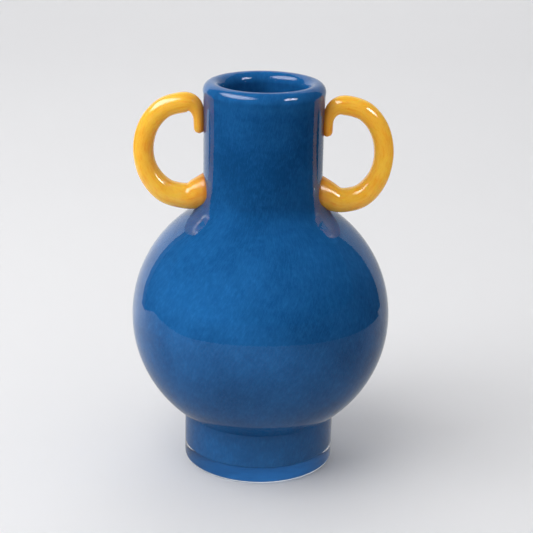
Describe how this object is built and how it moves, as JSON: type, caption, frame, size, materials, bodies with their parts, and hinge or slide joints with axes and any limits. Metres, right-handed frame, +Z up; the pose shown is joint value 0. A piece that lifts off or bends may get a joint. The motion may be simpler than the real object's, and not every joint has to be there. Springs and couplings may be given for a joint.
{
  "type": "amphora vase",
  "caption": "Round-bellied blown glass vase with a straight neck, a rolled lip, a cylindrical foot on a clear base and curled rod handles.",
  "frame": {"origin": "Centre of the base, on the surface that the vase stands on.", "axes": "+Z up along the vase's axis, +X towards the right handle, so the handles lie in the XZ plane, and -Y towards the viewer."},
  "size_m": [0.1646, 0.1646, 0.25],
  "materials": {
    "blue_glass": "opaque blue glass with fine streaks, glossy",
    "clear_glass": "clear polished glass",
    "amber_glass": "opaque amber glass drawn into streaks, glossy"
  },
  "bodies": {
    "root": {"blue_lining": "blue_glass", "clear_casing": "clear_glass", "left_handle": "amber_glass", "right_handle": "amber_glass"}
  },
  "joints": []
}
